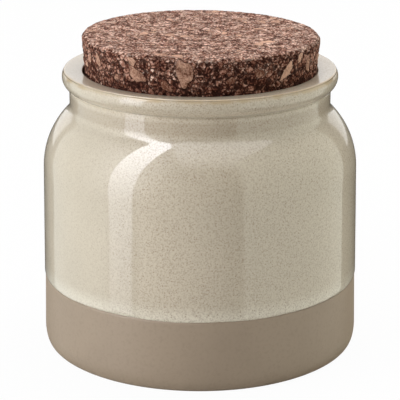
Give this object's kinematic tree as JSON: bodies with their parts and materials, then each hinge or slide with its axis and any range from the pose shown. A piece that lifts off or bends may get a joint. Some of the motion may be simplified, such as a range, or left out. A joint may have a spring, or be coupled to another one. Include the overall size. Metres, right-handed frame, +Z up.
{
  "type": "lidded storage jar",
  "caption": "Round stoneware storage jar with a rolled rim, a glazed upper body over a bare clay base, and a tapered cork lid pressed into its mouth.",
  "frame": {"origin": "centre of the round face that the jar stands on", "axes": "+Z up along the jar's axis of turning, through the mouth and the lid; +X and +Y are free, because the jar is round"},
  "size_m": [0.12, 0.12, 0.1192],
  "materials": {
    "glazed_stoneware": "glossy speckled glaze over a bare matt clay base",
    "pressed_cork": "raw pressed cork granules"
  },
  "bodies": {
    "root": {"jar_body": "glazed_stoneware", "cork_lid": "pressed_cork"}
  },
  "joints": []
}
